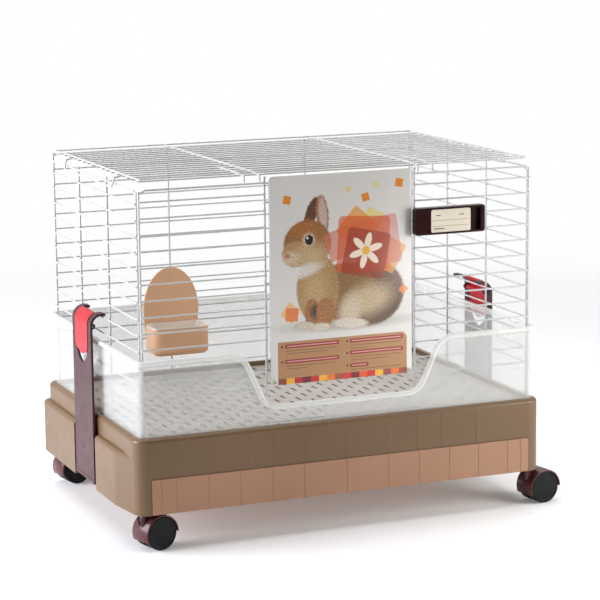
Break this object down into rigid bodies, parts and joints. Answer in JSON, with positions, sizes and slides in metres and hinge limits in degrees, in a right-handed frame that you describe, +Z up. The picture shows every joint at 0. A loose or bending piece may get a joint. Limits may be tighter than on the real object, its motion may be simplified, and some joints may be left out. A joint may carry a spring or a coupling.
{
  "type": "wire rabbit cage",
  "caption": "Wire rabbit cage with hinged door and lid, splash guard, slotted floor, pull-out litter drawer, side straps, food bowl and swivel casters.",
  "frame": {"origin": "middle of the cage on the floor that its casters stand on", "axes": "+X to the right along the front, -Y out of the front with the door, +Z up"},
  "size_m": [0.7096, 0.4716, 0.5473],
  "materials": {
    "base_brown": "fine moulded texture",
    "drawer_tan": "fine moulded texture",
    "floor_grey": "satin moulded plastic",
    "guard_clear": "milky translucent",
    "wire_white": "gloss coated wire",
    "card_print": null,
    "label_paper": "plain ruled label",
    "latch_maroon": "polished",
    "strap_plum": "satin",
    "tab_red": "polished",
    "bowl_tan": "satin",
    "bowl_steel": "bright",
    "bush_nylon": "natural nylon",
    "caster_plum": "polished",
    "wheel_black": "satin",
    "pin_steel": "plain"
  },
  "bodies": {
    "root": {"base_housing": "base_brown", "floor_grid": "floor_grey", "splash_guard": "guard_clear", "front_panel_left": "wire_white", "front_panel_right": "wire_white", "front_top_rail": "wire_white", "front_bottom_rail": "wire_white", "back_panel": "wire_white", "left_panel": "wire_white", "right_panel": "wire_white", "bowl_holder": "bowl_tan", "bowl_nut": "bowl_tan", "strap_pin_left": "pin_steel", "strap_pin_right": "pin_steel", "caster_bushes": "bush_nylon"},
    "drawer": {"litter_drawer": "drawer_tan"},
    "door": {"door_frame": "wire_white", "door_card": "card_print", "card_clips": "wire_white"},
    "latch": {"latch_plate": "latch_maroon", "latch_label": "label_paper", "latch_keeper": "latch_maroon"},
    "lid": {"top_panel": "wire_white"},
    "bowl_insert": {"bowl_liner": "bowl_steel"},
    "strap_left": {"strap_left": "strap_plum", "tab_pin_left": "pin_steel"},
    "tab_left": {"tab_left": "tab_red"},
    "strap_right": {"strap_right": "strap_plum", "tab_pin_right": "pin_steel"},
    "tab_right": {"tab_right": "tab_red"},
    "caster_front_left": {"caster_hood_front_left": "caster_plum", "caster_stem_front_left": "pin_steel", "caster_axle_front_left": "pin_steel"},
    "wheel_near_front_left": {"caster_wheel_near_front_left": "wheel_black"},
    "wheel_far_front_left": {"caster_wheel_far_front_left": "wheel_black"},
    "caster_front_right": {"caster_hood_front_right": "caster_plum", "caster_stem_front_right": "pin_steel", "caster_axle_front_right": "pin_steel"},
    "wheel_near_front_right": {"caster_wheel_near_front_right": "wheel_black"},
    "wheel_far_front_right": {"caster_wheel_far_front_right": "wheel_black"},
    "caster_rear_left": {"caster_hood_rear_left": "caster_plum", "caster_stem_rear_left": "pin_steel", "caster_axle_rear_left": "pin_steel"},
    "wheel_near_rear_left": {"caster_wheel_near_rear_left": "wheel_black"},
    "wheel_far_rear_left": {"caster_wheel_far_rear_left": "wheel_black"},
    "caster_rear_right": {"caster_hood_rear_right": "caster_plum", "caster_stem_rear_right": "pin_steel", "caster_axle_rear_right": "pin_steel"},
    "wheel_near_rear_right": {"caster_wheel_near_rear_right": "wheel_black"},
    "wheel_far_rear_right": {"caster_wheel_far_rear_right": "wheel_black"}
  },
  "joints": [
    {"name": "drawer_slide", "type": "slide", "parent": "root", "child": "drawer", "axis": [0, -1, 0], "range_m": [0, 0.36]},
    {"name": "door_hinge", "type": "hinge", "parent": "root", "child": "door", "pos_m": [-0.1205, -0.214, 0.38], "axis": [0, 0, -1], "range_deg": [0, 90]},
    {"name": "latch_slide", "type": "slide", "parent": "root", "child": "latch", "axis": [1, 0, 0], "range_m": [-0.017, 0.008]},
    {"name": "lid_hinge", "type": "hinge", "parent": "root", "child": "lid", "pos_m": [0, 0.2166, 0.5395], "axis": [-1, 0, 0], "range_deg": [0, 100]},
    {"name": "bowl_lift", "type": "slide", "parent": "root", "child": "bowl_insert", "axis": [0, 0, 1], "range_m": [0, 0.1]},
    {"name": "strap_hinge_left", "type": "hinge", "parent": "root", "child": "strap_left", "pos_m": [-0.3356, 0, 0.066], "axis": [0, -1, 0], "range_deg": [0, 75]},
    {"name": "tab_hinge_left", "type": "hinge", "parent": "strap_left", "child": "tab_left", "pos_m": [-0.3323, 0, 0.305], "axis": [0, 1, 0], "range_deg": [0, 18]},
    {"name": "strap_hinge_right", "type": "hinge", "parent": "root", "child": "strap_right", "pos_m": [0.3356, 0, 0.066], "axis": [0, 1, 0], "range_deg": [0, 75]},
    {"name": "tab_hinge_right", "type": "hinge", "parent": "strap_right", "child": "tab_right", "pos_m": [0.3323, 0, 0.305], "axis": [0, -1, 0], "range_deg": [0, 18]},
    {"name": "swivel_front_left", "type": "hinge", "parent": "root", "child": "caster_front_left", "pos_m": [-0.317, -0.21, 0.056], "axis": [0, 0, 1], "continuous": true},
    {"name": "spin_near_front_left", "type": "hinge", "parent": "caster_front_left", "child": "wheel_near_front_left", "pos_m": [-0.29575, -0.20431, 0.025], "axis": [-0.2588, 0.9659, 0], "continuous": true},
    {"name": "spin_far_front_left", "type": "hinge", "parent": "caster_front_left", "child": "wheel_far_front_left", "pos_m": [-0.29575, -0.20431, 0.025], "axis": [-0.2588, 0.9659, 0], "continuous": true},
    {"name": "swivel_front_right", "type": "hinge", "parent": "root", "child": "caster_front_right", "pos_m": [0.317, -0.21, 0.056], "axis": [0, 0, 1], "continuous": true},
    {"name": "spin_near_front_right", "type": "hinge", "parent": "caster_front_right", "child": "wheel_near_front_right", "pos_m": [0.33879, -0.20694, 0.025], "axis": [-0.1392, 0.9903, 0], "continuous": true},
    {"name": "spin_far_front_right", "type": "hinge", "parent": "caster_front_right", "child": "wheel_far_front_right", "pos_m": [0.33879, -0.20694, 0.025], "axis": [-0.1392, 0.9903, 0], "continuous": true},
    {"name": "swivel_rear_left", "type": "hinge", "parent": "root", "child": "caster_rear_left", "pos_m": [-0.317, 0.21, 0.056], "axis": [0, 0, 1], "continuous": true},
    {"name": "spin_near_rear_left", "type": "hinge", "parent": "caster_rear_left", "child": "wheel_near_rear_left", "pos_m": [-0.29527, 0.21344, 0.025], "axis": [-0.1564, 0.9877, 0], "continuous": true},
    {"name": "spin_far_rear_left", "type": "hinge", "parent": "caster_rear_left", "child": "wheel_far_rear_left", "pos_m": [-0.29527, 0.21344, 0.025], "axis": [-0.1564, 0.9877, 0], "continuous": true},
    {"name": "swivel_rear_right", "type": "hinge", "parent": "root", "child": "caster_rear_right", "pos_m": [0.317, 0.21, 0.056], "axis": [0, 0, 1], "continuous": true},
    {"name": "spin_near_rear_right", "type": "hinge", "parent": "caster_rear_right", "child": "wheel_near_rear_right", "pos_m": [0.33873, 0.21344, 0.025], "axis": [-0.1564, 0.9877, 0], "continuous": true},
    {"name": "spin_far_rear_right", "type": "hinge", "parent": "caster_rear_right", "child": "wheel_far_rear_right", "pos_m": [0.33873, 0.21344, 0.025], "axis": [-0.1564, 0.9877, 0], "continuous": true}
  ]
}
